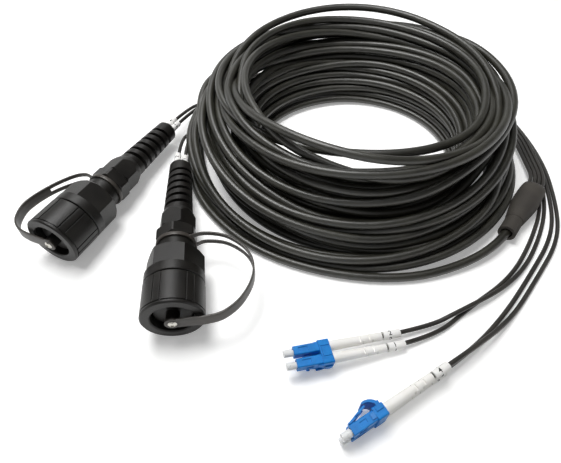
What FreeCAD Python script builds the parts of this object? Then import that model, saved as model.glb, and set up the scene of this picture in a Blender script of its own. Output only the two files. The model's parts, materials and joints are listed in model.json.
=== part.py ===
import FreeCAD, Part
import math
import os

os.makedirs("parts", exist_ok=True)
V = FreeCAD.Vector

# Armoured fibre patch cord, millimetres, +Z up, origin on the floor at the coil's axis.
# Main cable and coil
CABLE_D = 5.0
COIL_OUT_R = 108.0
COIL_IN_R = 65.5
COIL_H = 57.0
# Thin legs
LEG_D = 2.4
LEG_R = LEG_D / 2
LEG_LANE = 2.9
LEG_FLOOR_Z = LEG_R
# Running clearance between parts that move against each other
RUN = 0.35
# Waterproof plug: radii, across-flats sizes and lengths along its axis
RING_R = 15.5
RING_LEN = 18.7
RING_GAP = 0.5
RING_FACE_W = 5.0
RING_WALL = 1.9
WELL_R = RING_R - RING_FACE_W
WELL_DEPTH = 10.6
BEAD_R = RING_R - RING_WALL
BEAD_H = 1.0
SPIGOT_R = BEAD_R - BEAD_H
BEAD_SETBACK = 2.8
BEAD_LEN = 2.4
BEAD_END_PLAY = 0.4
GRIPS = 6
GRIP_STRIP_DEG = 15.0
GRIP_GROOVE_W = 0.7
GRIP_GROOVE_T = 0.55
RIM_W = 1.5
BODY_R = 15.4
BARREL_LEN = 5.5
FLAT_LEN = 13.3
BODY_AF = 26.6
BODY_CHAMFER = 1.8
NECK_R = 9.9
NECK_LEN = 9.8
NOSE_R = 9.0
NOSE_SETBACK = 1.4
NOSE_DEPTH = 4.0
CAVITY_R = 8.0
BASE_LEN = 7.7
BASE_AF = 20.4
STEM_R = 7.0
STEM_LEN = 8.4
CABLEWAY_R = 5.2
THREAD_R = 7.6
THREAD_LEN = 8.4
SEAL_R = 6.4
SEAL_PROUD = 0.2
NUT_GAP = 0.3
NUT_AF = 18.6
NUT_HEX_LEN = 9.6
NUT_CONE_LEN = 5.0
HEX_CORNER = 1.3
TAIL_LEN = 44.6
TAIL_R0 = 8.5
TAIL_R1 = 7.0
TAIL_TIP = 1.4
SPIRAL_SETBACK = 1.2
SPIRAL_TURNS = 5.9
SPIRAL_PITCH = 6.0
SPIRAL_WIDTH = 2.7
SPIRAL_FLOOR_R = 5.2
TAIL_BORE_R = 4.2
TAIL_BORE_DEPTH = 8.0
LEG_HALF_PITCH = 2.4
# Places along the plug, from its front face
BODY_START = RING_LEN + RING_GAP
FLAT_START = BODY_START + BARREL_LEN
BODY_END = FLAT_START + FLAT_LEN
NOSE_END = BODY_START + NOSE_DEPTH
BEAD_START = WELL_DEPTH + BEAD_SETBACK
BEAD_END = BEAD_START + BEAD_LEN
BASE_START = BODY_END + NECK_LEN
BASE_END = BASE_START + BASE_LEN
SEAL_END = BASE_END + THREAD_LEN + SEAL_PROUD
NUT_START = BASE_END + NUT_GAP
NUT_HEX_END = NUT_START + NUT_HEX_LEN
TAIL_START = NUT_HEX_END + NUT_CONE_LEN
TAIL_END = TAIL_START + TAIL_LEN
# Dust plug, rivet and strap
CUP_GAP = 0.75
CUP_R = WELL_R - CUP_GAP
CUP_FACE = 4.0
CUP_FLOOR = 1.4
CUP_WALL = 1.5
DUST_SEAL_SETBACK = 2.6
DUST_SEAL_W = 1.6
DUST_SEAL_T = 0.7
DUST_SEAL_PROUD = 0.3
BOSS_R = 3.4
STRAP_W = 7.0
STRAP_T = 1.0
STRAP_FACE = -2.2
STRAP_PLAY = 0.2
STRAND_W = 2.4
STRAND_SPREAD = 1.3
STRAND_RISE = 3.0
RIVET_HEAD_R = 2.2
RIVET_DOME_R = 3.0
RIVET_R = 1.2
RIVET_DIMPLE_R = 0.9
RIVET_DIMPLE_RIM = 0.45
RIVET_HOLE_PLAY = 0.3
RIVET_FLOOR = 1.5
COLLAR_W = 4.5
COLLAR_T = 1.2
COLLAR_SETBACK = 5.1
COLLAR_Z = BODY_END + COLLAR_SETBACK
# LC connector pair: sizes, then places along its axis from the dust cap's tip
LC_PITCH = 6.25
LC_W = 4.5
LC_H = 4.6
LC_LEN = 14.8
LC_CHAMFER = 0.35
LC_BORE_R = 1.65
LC_BORE_DEPTH = 5.0
FERRULE_R = 0.625
FERRULE_OUT = 2.4
FERRULE_IN = 7.4
CAP_HEAD_R = 1.75
CAP_HEAD_LEN = 4.25
CAP_END = 1.2
CAP_SLEEVE_R = LC_BORE_R - RUN
CAP_SLEEVE_PLAY = 0.6
CAP_BORE_R = FERRULE_R + RUN
CLIP_GRIP = 2.6
CLIP_LEN = 5.4
CLIP_W = 12.1
CLIP_H = 5.9
CLIP_ROUND = 0.8
CLIP_TAB = 0.5
CLIP_FLARE = 2.2
EAR_W = 0.8
EAR_H = 1.35
TRIGGER_W = CLIP_W - 2 * (EAR_W + RUN)
LATCH_W = 2.6
WING_W = 4.3
BOOT_LEN = 27.5
BOOT_R0 = 2.55
BOOT_R1 = 2.05
BOOT_NECK_R = 1.9
BOOT_BORE_DEPTH = 8.0
BOOT_CORE_R = 1.55
BOOT_SLOT_W = 0.7
TAG_LEN = 9.0
TAG_R = 2.2
TAG_GAP = 1.0
PLUG_TAG_GAPS = (0.8, 4.0)
LC_FRONT = CAP_HEAD_LEN + RUN
LC_BACK = LC_FRONT + LC_LEN
LC_BORE_END = LC_FRONT + LC_BORE_DEPTH
CLIP_FRONT = LC_BACK - CLIP_GRIP
CLIP_BACK = CLIP_FRONT + CLIP_LEN
BOOT_END = CLIP_BACK + BOOT_LEN
BOOT_BORE_START = BOOT_END - BOOT_BORE_DEPTH
TAG_END = BOOT_END + TAG_GAP + TAG_LEN
# Fan-out boot, measured along its axis from the cable mouth
FAN_LEN = 49.0
FAN_HALF_W = 7.7
FAN_HALF_H = 6.0
FAN_COLLAR_LEN = 13.0
FAN_COLLAR_WALL = 1.7
FAN_MOUTH_PLAY = 0.8
FAN_MOUTH_DEPTH = 7.0
FAN_POCKET_DEPTH = 6.0
FAN_POCKET_W = 5.6
FAN_POCKET_H = 3.2
FAN_INSERT_LEN = 3.5
FAN_LEG_PITCH = 2.6
FLOOR_PLAY = 0.3
FAN_MOUTH_R = CABLE_D / 2 + FAN_MOUTH_PLAY
FAN_COLLAR_R = FAN_MOUTH_R + FAN_COLLAR_WALL
FAN_POCKET = FAN_LEN - FAN_POCKET_DEPTH
FAN_INSERT_END = FAN_POCKET + FAN_INSERT_LEN
FAN_Z = FAN_HALF_H + FLOOR_PLAY

made = {}


def save(name, shape):
    shape.exportStep("parts/" + name + ".step")
    made[name] = shape


def cyl(r, z0, z1):
    return Part.makeCylinder(r, z1 - z0, V(0, 0, z0))


def tube(r_out, r_in, z0, z1):
    return cyl(r_out, z0, z1).cut(cyl(r_in, z0 - 1, z1 + 1))


def turned(points):
    # A solid of revolution about Z from (radius, height) points
    corners = [V(r, 0, z) for r, z in points]
    face = Part.Face(Part.makePolygon(corners + [corners[0]]))
    return face.revolve(V(0, 0, 0), V(0, 0, 1), 360)


def hexagon(across_flats, z0, z1, turn_deg):
    corner_r = across_flats / math.sqrt(3)
    corners = []
    for i in range(7):
        a = math.radians(60 * i + turn_deg)
        corners.append(V(corner_r * math.cos(a), corner_r * math.sin(a), z0))
    return Part.Face(Part.makePolygon(corners)).extrude(V(0, 0, z1 - z0))


def box(x0, x1, y0, y1, z0, z1):
    return Part.makeBox(x1 - x0, y1 - y0, z1 - z0, V(x0, y0, z0))


def rod_x(r, x0, x1, y=0.0, z=0.0):
    return Part.makeCylinder(r, x1 - x0, V(x0, y, z), V(1, 0, 0))


def cone_x(r0, r1, x0, x1, y=0.0, z=0.0):
    return Part.makeCone(r0, r1, x1 - x0, V(x0, y, z), V(1, 0, 0))


def slab_y(points, y0, y1):
    # An outline drawn in X and Z, given its width along Y
    corners = [V(x, y0, z) for x, z in points]
    face = Part.Face(Part.makePolygon(corners + [corners[0]]))
    return face.extrude(V(0, y1 - y0, 0))


class Seat:
    """A placed local frame: an origin and three right-handed directions."""

    def __init__(self, origin, x_dir, z_dir):
        self.origin = V(*origin)
        self.z = V(*z_dir).normalize()
        self.x = V(*x_dir)
        self.x = (self.x - self.z * self.x.dot(self.z)).normalize()
        self.y = self.z.cross(self.x)
        rotation = FreeCAD.Rotation(self.x, self.y, self.z, "ZXY")
        self.placement = FreeCAD.Placement(self.origin, rotation)

    def put(self, shape):
        placed = shape.copy()
        placed.Placement = self.placement.multiply(shape.Placement)
        return placed

    def at(self, x, y, z):
        p = self.origin + self.x * x + self.y * y + self.z * z
        return (p.x, p.y, p.z)


# Cord solids: straight runs joined by tangent arcs
def cord(name, points, diameter):
    pts = [V(*p) for p in points]
    edges = []
    start = pts[0]
    tightest = 1e9
    for i in range(1, len(pts) - 1):
        before = pts[i] - pts[i - 1]
        after = pts[i + 1] - pts[i]
        reach = 0.45 * min(before.Length, after.Length)
        d1 = V(before).normalize()
        d2 = V(after).normalize()
        turn = math.acos(max(-1.0, min(1.0, d1.dot(d2))))
        radius = reach / math.tan(turn / 2)
        tightest = min(tightest, radius)
        a = pts[i] - d1 * reach
        b = pts[i] + d2 * reach
        inward = (d2 - d1).normalize()
        mid = pts[i] + inward * (radius / math.cos(turn / 2) - radius)
        edges.append(Part.LineSegment(start, a).toShape())
        edges.append(Part.Arc(a, mid, b).toShape())
        start = b
    edges.append(Part.LineSegment(start, pts[-1]).toShape())
    path = Part.Wire(edges)
    length = path.Length
    first = (pts[1] - pts[0]).normalize()
    ring = Part.Wire(Part.makeCircle(diameter / 2, pts[0], first))
    solid = path.makePipe(Part.Face(ring))
    section = math.pi * diameter * diameter / 4
    fill = solid.Volume / (section * length)
    print(name, "length %.1f" % length, "tightest radius %.1f" % tightest, "volume ratio %.4f" % fill)
    save(name, solid)
    return length


# Fan-out boot: a flattened moulding with a round collar at the cable end
def ellipse_wire(x, half_w, half_h):
    if half_w > half_h:
        e = Part.Ellipse(V(x, half_w, 0), V(x, 0, half_h), V(x, 0, 0))
        return Part.Wire(e.toShape())
    return Part.Wire(Part.makeCircle(half_w, V(x, 0, 0), V(1, 0, 0)))


def fan_boot():
    w, h = FAN_HALF_W, FAN_HALF_H
    shoulder = FAN_COLLAR_LEN - 1.0
    stations = [(shoulder, 0.68 * w, 0.86 * h), (shoulder + 6, 0.8 * w, 0.92 * h),
                (shoulder + 13, 0.93 * w, 0.98 * h), (0.64 * FAN_LEN, w, h),
                (FAN_LEN - 9, 0.985 * w, 0.98 * h), (FAN_LEN - 3.5, 0.95 * w, 0.88 * h),
                (FAN_LEN, 0.88 * w, 0.66 * h)]
    body = Part.makeLoft([ellipse_wire(*s) for s in stations], True, False)
    body = body.fuse(rod_x(FAN_COLLAR_R, 0, FAN_COLLAR_LEN)).removeSplitter()
    body = body.cut(rod_x(FAN_MOUTH_R, -1, FAN_MOUTH_DEPTH))
    pocket = Part.Face(ellipse_wire(FAN_POCKET, FAN_POCKET_W, FAN_POCKET_H))
    return body.cut(pocket.extrude(V(FAN_POCKET_DEPTH + 1, 0, 0)))


def fan_insert():
    face = Part.Face(ellipse_wire(FAN_POCKET, FAN_POCKET_W, FAN_POCKET_H))
    return face.extrude(V(FAN_INSERT_LEN, 0, 0))


# Waterproof plug pieces, along Z from the front face
def plug_ring():
    bore = SPIGOT_R + RUN
    groove = BEAD_R + RUN
    groove_start = BEAD_START - BEAD_END_PLAY
    groove_end = BEAD_END + BEAD_END_PLAY
    ring = turned([(WELL_R + 0.6, 0), (RING_R - 0.7, 0), (RING_R, 0.7), (RING_R, RING_LEN - 0.4),
                   (RING_R - 0.4, RING_LEN), (bore, RING_LEN), (bore, groove_end), (groove, groove_end),
                   (groove, groove_start), (bore, groove_start), (bore, WELL_DEPTH), (WELL_R, WELL_DEPTH),
                   (WELL_R, 0.6)])
    ring = ring.cut(tube(RING_R + 1, RING_R - GRIP_GROOVE_T, RIM_W, RIM_W + GRIP_GROOVE_W))
    for i in range(GRIPS):
        for side in (-0.5, 0.5):
            half = GRIP_GROOVE_W / 2
            cut = box(RING_R - GRIP_GROOVE_T, RING_R + 1, -half, half, RIM_W + half, RING_LEN + 1)
            cut.rotate(V(0, 0, 0), V(0, 0, 1), 360.0 * i / GRIPS + side * GRIP_STRIP_DEG + 10)
            ring = ring.cut(cut)
    return ring


def plug_body(hex_turn):
    barrel = turned([(0, BODY_START), (BODY_R - 0.4, BODY_START), (BODY_R, BODY_START + 0.4),
                     (BODY_R, BODY_END - BODY_CHAMFER), (BODY_R - BODY_CHAMFER, BODY_END), (0, BODY_END)])
    flats = hexagon(BODY_AF, FLAT_START - 1, BODY_END + 2, hex_turn)
    barrel = barrel.cut(cyl(BODY_R + 2, FLAT_START, BODY_END + 1).cut(flats))
    spigot = turned([(0, WELL_DEPTH + RUN), (SPIGOT_R, WELL_DEPTH + RUN), (SPIGOT_R, BEAD_START),
                     (BEAD_R, BEAD_START + 0.6), (BEAD_R, BEAD_END - 0.6), (SPIGOT_R, BEAD_END),
                     (SPIGOT_R, BODY_START + 1), (0, BODY_START + 1)])
    neck = cyl(NECK_R, BODY_END - 1, BASE_START)
    body = barrel.fuse(spigot).fuse(neck).removeSplitter()
    stem_start = BASE_START - STEM_LEN
    bore = cyl(NOSE_R, WELL_DEPTH, NOSE_END).fuse(cyl(CAVITY_R, NOSE_END - 1, stem_start))
    return body.cut(bore.fuse(cyl(STEM_R, stem_start - 1, BASE_START + 1)))


def lc_cores():
    # The two inner connector fronts, one boxed nose and ferrule each
    cores = []
    tip_z = CUP_FACE + CUP_FLOOR + 0.6
    front = tip_z + CAP_HEAD_LEN / 3
    for side in (-0.5, 0.5):
        x = side * LC_PITCH
        nose = box(x - LC_W / 2, x + LC_W / 2, -LC_H / 2, LC_H / 2, front, BODY_START)
        tip = Part.makeCylinder(FERRULE_R, 4.0, V(x, 0, tip_z))
        well = Part.makeCylinder(LC_BORE_R, 1.5, V(x, 0, front - 0.1))
        cores.append(nose.cut(well).fuse(tip))
    return cores


def plug_nose():
    start = WELL_DEPTH + NOSE_SETBACK
    block = cyl(NOSE_R, start, NOSE_END)
    for side in (-0.5, 0.5):
        x = side * LC_PITCH
        block = block.cut(box(x - LC_W / 2, x + LC_W / 2, -LC_H / 2, LC_H / 2, start - 1, BODY_START))
    return block


def hex_block(across_flats, z0, z1, turn_deg):
    # A hexagon with its corners turned off
    r = across_flats / 2
    limit = turned([(0, z0), (r, z0), (r + HEX_CORNER, z0 + 0.9), (r + HEX_CORNER, z1 - 0.9),
                    (r, z1), (0, z1)])
    return hexagon(across_flats, z0, z1, turn_deg).common(limit)


def gland_base(hex_turn):
    base = hex_block(BASE_AF, BASE_START, BASE_END, hex_turn)
    base = base.fuse(cyl(STEM_R, BASE_START - STEM_LEN, BASE_START + 1))
    base = base.fuse(cyl(THREAD_R, BASE_END - 1, BASE_END + THREAD_LEN)).removeSplitter()
    cableway = cyl(CABLEWAY_R, BASE_START - STEM_LEN - 1, BASE_END + 1)
    return base.cut(cableway).cut(cyl(SEAL_R, BASE_END, BASE_END + THREAD_LEN + 1))


def gland_seal():
    return cyl(SEAL_R, BASE_END, SEAL_END)


def gland_nut(hex_turn):
    r = NUT_AF / 2
    limit = turned([(0, NUT_START), (r, NUT_START), (r + HEX_CORNER, NUT_START + 0.9),
                    (r + HEX_CORNER, NUT_HEX_END - 0.6), (TAIL_R0, TAIL_START), (0, TAIL_START)])
    hexed = hexagon(NUT_AF, NUT_START, TAIL_START, hex_turn).common(limit)
    tail = turned([(0, TAIL_START - 1), (TAIL_R0, TAIL_START - 1), (TAIL_R1, TAIL_END - TAIL_TIP),
                   (TAIL_R1 - 1.0, TAIL_END), (0, TAIL_END)])
    nut = hexed.fuse(tail).removeSplitter()
    nut = nut.cut(spiral())
    nut = nut.cut(cyl(THREAD_R, NUT_START - 1, SEAL_END))
    return nut.cut(cyl(TAIL_BORE_R, TAIL_END - TAIL_BORE_DEPTH, TAIL_END + 1))


def spiral():
    helix = Part.makeHelix(SPIRAL_PITCH, SPIRAL_PITCH * SPIRAL_TURNS, SPIRAL_FLOOR_R)
    outline = [V(SPIRAL_FLOOR_R, 0, -0.4 * SPIRAL_WIDTH), V(TAIL_R0 + 2, 0, -0.5 * SPIRAL_WIDTH),
               V(TAIL_R0 + 2, 0, 0.5 * SPIRAL_WIDTH), V(SPIRAL_FLOOR_R, 0, 0.4 * SPIRAL_WIDTH)]
    wire = Part.makePolygon(outline + [outline[0]])
    sweep = Part.BRepOffsetAPI.MakePipeShell(Part.Wire(helix))
    sweep.setFrenetMode(True)
    sweep.add(wire)
    sweep.build()
    sweep.makeSolid()
    groove = sweep.shape()
    groove.translate(V(0, 0, TAIL_START + SPIRAL_SETBACK + 0.5 * SPIRAL_WIDTH))
    return groove


def dust_plug():
    seal_start = CUP_FACE + DUST_SEAL_SETBACK
    seal_end = seal_start + DUST_SEAL_W
    floor = CUP_FACE + CUP_FLOOR
    inner = CUP_R - CUP_WALL
    cup = turned([(0, CUP_FACE), (CUP_R - 0.6, CUP_FACE), (CUP_R, CUP_FACE + 0.6), (CUP_R, seal_start),
                  (CUP_R - DUST_SEAL_T, seal_start), (CUP_R - DUST_SEAL_T, seal_end), (CUP_R, seal_end),
                  (CUP_R, WELL_DEPTH), (inner, WELL_DEPTH), (inner, floor), (0, floor)])
    boss = cyl(BOSS_R, STRAP_FACE + STRAP_T + STRAP_PLAY, CUP_FACE + 0.5)
    return cup.fuse(boss).removeSplitter().cut(cyl(RIVET_R, STRAP_FACE, CUP_FACE - RIVET_FLOOR))


def dust_seal():
    start = CUP_FACE + DUST_SEAL_SETBACK
    return tube(CUP_R + DUST_SEAL_PROUD, CUP_R - DUST_SEAL_T, start, start + DUST_SEAL_W)


def rivet():
    under = STRAP_FACE - STRAP_PLAY
    rise = math.sqrt(RIVET_DOME_R ** 2 - RIVET_HEAD_R ** 2)
    dome = Part.makeSphere(RIVET_DOME_R, V(0, 0, under + rise))
    dome = dome.common(cyl(RIVET_HEAD_R, under - RIVET_DOME_R, under))
    dome = dome.fuse(cyl(RIVET_R, under - 0.2, CUP_FACE - RIVET_FLOOR)).removeSplitter()
    return dome.cut(cyl(RIVET_DIMPLE_R, under - RIVET_DOME_R, under - RIVET_DIMPLE_RIM))


def ribbon(path, y0, y1):
    # A flat band standing on edge: its line is drawn in X and Z, its width runs along Y
    curve = Part.BSplineCurve()
    curve.interpolate([V(x, y0, z) for x, z in path])
    steps = 40
    left = []
    right = []
    for i in range(steps + 1):
        u = curve.FirstParameter + (curve.LastParameter - curve.FirstParameter) * i / steps
        p = curve.value(u)
        t = curve.tangent(u)[0]
        n = V(-t.z, 0, t.x).normalize()
        left.append(p + n * (STRAP_T / 2))
        right.append(p - n * (STRAP_T / 2))
    a = Part.BSplineCurve()
    a.interpolate(left)
    b = Part.BSplineCurve()
    b.interpolate(right)
    wire = Part.Wire([a.toShape(), Part.LineSegment(left[-1], right[-1]).toShape(), b.toShape().reversed(),
                      Part.LineSegment(right[0], left[0]).toShape()])
    return Part.Face(wire).extrude(V(0, y1 - y0, 0))


def strand(points, height):
    # One half of the slit strap: square-cut sections lofted along its points
    pts = [V(*p) for p in points]
    wires = []
    for i, p in enumerate(pts):
        before = pts[max(i - 1, 0)]
        after = pts[min(i + 1, len(pts) - 1)]
        t = V(after.x - before.x, 0, after.z - before.z).normalize()
        n = V(-t.z, 0, t.x)
        up = V(0, height / 2, 0)
        side = n * (STRAP_T / 2)
        corners = [p + up + side, p - up + side, p - up - side, p + up - side]
        wires.append(Part.makePolygon(corners + [corners[0]]))
    return Part.makeLoft(wires, True, False)


def strap(path, split, side):
    # The tongue under the rivet, the band round the plug's side, the slit end and the neck loop
    band = ribbon([(side * w, z) for w, z in path[:split + 1]], -STRAP_W / 2, STRAP_W / 2)
    tongue = cyl(STRAP_W / 2 + 0.4, STRAP_FACE, STRAP_FACE + STRAP_T)
    inner, outer = sorted((0, side * path[0][0]))
    lead = box(inner, outer, -STRAP_W / 2, STRAP_W / 2, STRAP_FACE, STRAP_FACE + STRAP_T)
    halves = []
    rest = path[split:]
    for sign in (-1, 1):
        line = []
        for i, (w, z) in enumerate(rest):
            share = i / len(rest)
            y = sign * (STRAP_W / 2 - STRAND_W / 2 + STRAND_SPREAD * share) + STRAND_RISE * share
            line.append((side * w, y, z))
        y = sign * (STRAP_W / 2 - STRAND_W / 2 + STRAND_SPREAD) + STRAND_RISE
        root = math.sqrt((NECK_R + COLLAR_T / 3) ** 2 - y * y)
        line.append((side * root, y, COLLAR_Z + 0.75 * COLLAR_W))
        halves.append(strand(line, STRAND_W))
    loop = tube(NECK_R + COLLAR_T, NECK_R, COLLAR_Z, COLLAR_Z + COLLAR_W)
    solid = band.fuse([tongue, lead] + halves + [loop])
    solid = solid.cut(cyl(NECK_R, COLLAR_Z - 9, COLLAR_Z + COLLAR_W + 9))
    hole = cyl(RIVET_R + RIVET_HOLE_PLAY, STRAP_FACE - 1, STRAP_FACE + STRAP_T + 1)
    return solid.cut(hole).removeSplitter()


# LC pair pieces, along X from the cap tips, latches towards +Z
def lc_housing(y):
    block = box(LC_FRONT, LC_BACK, y - LC_W / 2, y + LC_W / 2, -LC_H / 2, LC_H / 2)
    long_edges = [e for e in block.Edges if abs(e.tangentAt(e.FirstParameter).x) > 0.9]
    block = block.makeChamfer(LC_CHAMFER, long_edges)
    block = block.cut(rod_x(LC_BORE_R, LC_FRONT - 1, LC_BORE_END, y))
    block = block.cut(rod_x(FERRULE_R, LC_BORE_END - 1, LC_FRONT + FERRULE_IN, y))
    block = block.cut(box(LC_FRONT + 2.6, LC_FRONT + 7, y - 1.1, y + 1.1, -LC_H / 2 - 1, -LC_H / 2 + 0.4))
    for side in (-1, 1):
        face = y + side * LC_W / 2
        near, far = sorted((face, face - side * 0.35))
        block = block.cut(box(LC_FRONT + 4.4, LC_FRONT + 7.8, near, far, -0.9, 0.9))
    return block


def outline(x0, z0, points):
    # Points given from a corner of the piece that carries the outline
    return [(x0 + x, z0 + z) for x, z in points]


def lc_latch(y):
    # A sprung lever that climbs backwards from the housing's front
    root_z = LC_H / 2 + RUN
    lever = outline(LC_FRONT, root_z, [
        (0.6, 0), (2.2, 0), (10.0, 2.2), (11.0, 2.45), (10.8, 3.15), (9.8, 3.1), (2.0, 0.9), (0.6, 0.65)])
    bar = outline(LC_FRONT, root_z, [(5.0, 0.95), (6.6, 1.4), (6.4, 2.0), (4.8, 1.5)])
    wings = slab_y(bar, y - WING_W / 2, y + WING_W / 2)
    return slab_y(lever, y - LATCH_W / 2, y + LATCH_W / 2).fuse(wings).removeSplitter()


def lc_trigger():
    # The arched thumb piece that reaches forward from the clip over both latch tips
    arch = outline(CLIP_BACK, CLIP_H / 2 + RUN, [
        (-2.5, 0), (-1.2, 0.2), (-1.0, 0.8), (-1.7, 1.9), (-2.7, 2.8), (-4.0, 3.5), (-5.4, 3.9), (-6.8, 3.95),
        (-7.5, 3.7), (-7.6, 3.2), (-7.1, 2.95), (-6.0, 2.95), (-4.8, 2.65), (-3.8, 2.0), (-3.0, 1.1)])
    return slab_y(arch, -TRIGGER_W / 2, TRIGGER_W / 2)


def lc_clip():
    half = CLIP_W / 2
    low = -CLIP_H / 2
    housing_side = LC_PITCH / 2 + LC_W / 2
    body = box(CLIP_FRONT, CLIP_BACK, -half, half, low, -low)
    body = body.makeFillet(CLIP_ROUND, [e for e in body.Edges if abs(e.tangentAt(e.FirstParameter).x) > 0.9])
    for side in (-0.5, 0.5):
        y = side * LC_PITCH
        body = body.cut(box(CLIP_FRONT - 1, LC_BACK, y - LC_W / 2, y + LC_W / 2, -LC_H / 2, LC_H / 2))
        body = body.cut(rod_x(BOOT_NECK_R, LC_BACK - 1, CLIP_BACK + 1, y))
    for side in (-1, 1):
        near, far = sorted((side * (half - EAR_W), side * half))
        ear = box(CLIP_BACK - 2.9, CLIP_BACK - 0.9, near, far, -low - 1, -low + EAR_H)
        near, far = sorted((side * (half - CLIP_TAB), side * (half + CLIP_TAB)))
        tab = box(CLIP_FRONT + 1.2, CLIP_BACK - 0.6, near, far, 0.4, -low - 0.4)
        lip = [(CLIP_FRONT - CLIP_FLARE, housing_side), (CLIP_FRONT - CLIP_FLARE, housing_side + 0.3),
               (CLIP_FRONT + 0.5, half), (CLIP_FRONT + 0.5, housing_side)]
        corners = [V(x, side * y, 1 - LC_H / 2) for x, y in lip]
        flare = Part.Face(Part.makePolygon(corners + [corners[0]])).extrude(V(0, 0, LC_H - 2))
        body = body.fuse([ear, tab, flare])
        slot_y = side * 2.6
        body = body.cut(box(CLIP_FRONT + 0.8, CLIP_BACK + 1, slot_y - 0.2, slot_y + 0.2, low - 1, low + 0.35))
    body = body.cut(box(CLIP_FRONT + 0.6, CLIP_FRONT + 1.0, -2.8, 2.8, low - 1, low + 0.35))
    return body.removeSplitter()


def lc_boot(y):
    boot = rod_x(BOOT_NECK_R, LC_BACK, CLIP_BACK + 1, y)
    boot = boot.fuse(cone_x(BOOT_R0, BOOT_R1, CLIP_BACK, BOOT_END, y))
    boot = boot.removeSplitter().cut(rod_x(LEG_R, BOOT_BORE_START, BOOT_END + 1, y))
    for i, setback in enumerate((12.0, 10.4, 7.2, 5.6)):
        x = BOOT_END - setback
        for side in (-1, 1):
            near, far = sorted((side * BOOT_CORE_R, side * (BOOT_R0 + 1)))
            wide = BOOT_R0 + 1
            if i % 2 == 0:
                boot = boot.cut(box(x, x + BOOT_SLOT_W, y - wide, y + wide, near, far))
            else:
                boot = boot.cut(box(x, x + BOOT_SLOT_W, y + near, y + far, -wide, wide))
    return boot


def lc_tag(y):
    start = BOOT_END + TAG_GAP
    return rod_x(TAG_R, start, TAG_END, y).cut(rod_x(LEG_R, start - 1, TAG_END + 1, y))


def lc_cap(y):
    sleeve = rod_x(CAP_SLEEVE_R, 1, LC_BORE_END - CAP_SLEEVE_PLAY, y)
    cap = rod_x(CAP_HEAD_R, 0, CAP_HEAD_LEN, y).fuse(sleeve).removeSplitter()
    return cap.cut(rod_x(CAP_BORE_R, CAP_END, LC_BORE_END + 1, y))


def ferrule(y):
    return rod_x(FERRULE_R, LC_FRONT - FERRULE_OUT, LC_FRONT + FERRULE_IN, y)


# Where everything lies on the floor
def heading(angle_deg, drop_deg=0.0):
    a, d = math.radians(angle_deg), math.radians(drop_deg)
    return (math.cos(a) * math.cos(d), math.sin(a) * math.cos(d), -math.sin(d))


# The lay-out was measured round a coil of this outer radius and grows with the coil
LAY = COIL_OUT_R / 108.0


def laid(x, y, z):
    return (LAY * x, LAY * y, z)


def polar(angle_deg, r, z):
    a = math.radians(angle_deg)
    return laid(r * math.cos(a), r * math.sin(a), z)


PLUG_DROP = 2.6
PLUG_Z = RING_R + 1.6
plug_seats = {
    "plug_1": Seat(laid(-173.4, -101.6, PLUG_Z), heading(67.3 + 90), heading(67.3, PLUG_DROP)),
    "plug_2": Seat(laid(-100.0, -148.7, PLUG_Z), heading(97.0 + 90), heading(97.0, PLUG_DROP)),
}
# Turn of the body's flats, the gland base's and the gland nut's
plug_hex = {"plug_1": (39.0, 40.0, 38.5), "plug_2": (57.0, 28.5, 49.0)}
# Strap lines as (sideways, along the plug), where the slit starts, and the side the strap lies on
strap_lines = {
    "plug_1": ([(8.0, -1.7), (16.0, -1.9), (22.0, -1.4), (30.0, 4.8), (33.2, 17.0), (29.9, 32.4),
                (22.4, 44.2), (15.0, 48.2)], 5, 1),
    "plug_2": ([(8.0, -1.7), (16.0, -1.9), (24.0, -1.9), (34.2, 7.2), (40.2, 19.8), (40.4, 30.0),
                (36.0, 38.2), (27.0, 46.4), (16.0, 48.8)], 5, -1),
}
fan_seats = {
    "plug_fanout": Seat(laid(83.2, -86.4, FAN_Z), heading(51.0), (0, 0, 1)),
    "lc_fanout": Seat(laid(-42.0, 128.5, FAN_Z), heading(8.0), (0, 0, 1)),
}
lc12_dir = heading(13.6, 6.0)
lc34_dir = heading(31.0)
# The pair lying on its latches dips towards its tags, so its Z is squared to its own axis
lc12_down = V(0, 0, -1) - V(*lc12_dir) * V(0, 0, -1).dot(V(*lc12_dir))
lc_seats = {
    "lc_12": Seat(laid(-46.9, -165.4, 9.4), lc12_dir, (lc12_down.x, lc12_down.y, lc12_down.z)),
    "lc_34": Seat(laid(-23.6, -198.8, CLIP_W / 2 + CLIP_TAB + 0.1), lc34_dir, (-lc34_dir[1], lc34_dir[0], 0)),
}

# Main cable: the coil's outer shape, a heap that leans back, and its two leads
def heap(r, rings):
    # Circles one above the other: share of the radius, centre, share of the height
    wires = []
    for size, x, y, rise in rings:
        wires.append(Part.Wire(Part.makeCircle(size * r, V(*laid(x, y, rise * COIL_H)))))
    return Part.makeLoft(wires, True, True)


heap_rings = [(0.977, 0, 0, 0.0), (1.0, 0.5, -1, 0.05), (0.99, 0, 1, 0.35), (0.917, -1, 7, 0.7),
              (0.856, 0.5, 8.5, 0.88), (0.796, 0, 8, 1.0)]
eye_rings = [(0.99, 6.1, -8.5, -0.03), (1.0, 6, -8, 0.0), (1.084, 4.5, -1, 0.44), (1.168, 3.5, 7, 0.84),
             (1.19, 3, 8, 1.0), (1.2, 3, 8, 1.03)]
coil = heap(COIL_OUT_R, heap_rings).cut(heap(COIL_IN_R, eye_rings))
save("main_cable_coil", coil)

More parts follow.
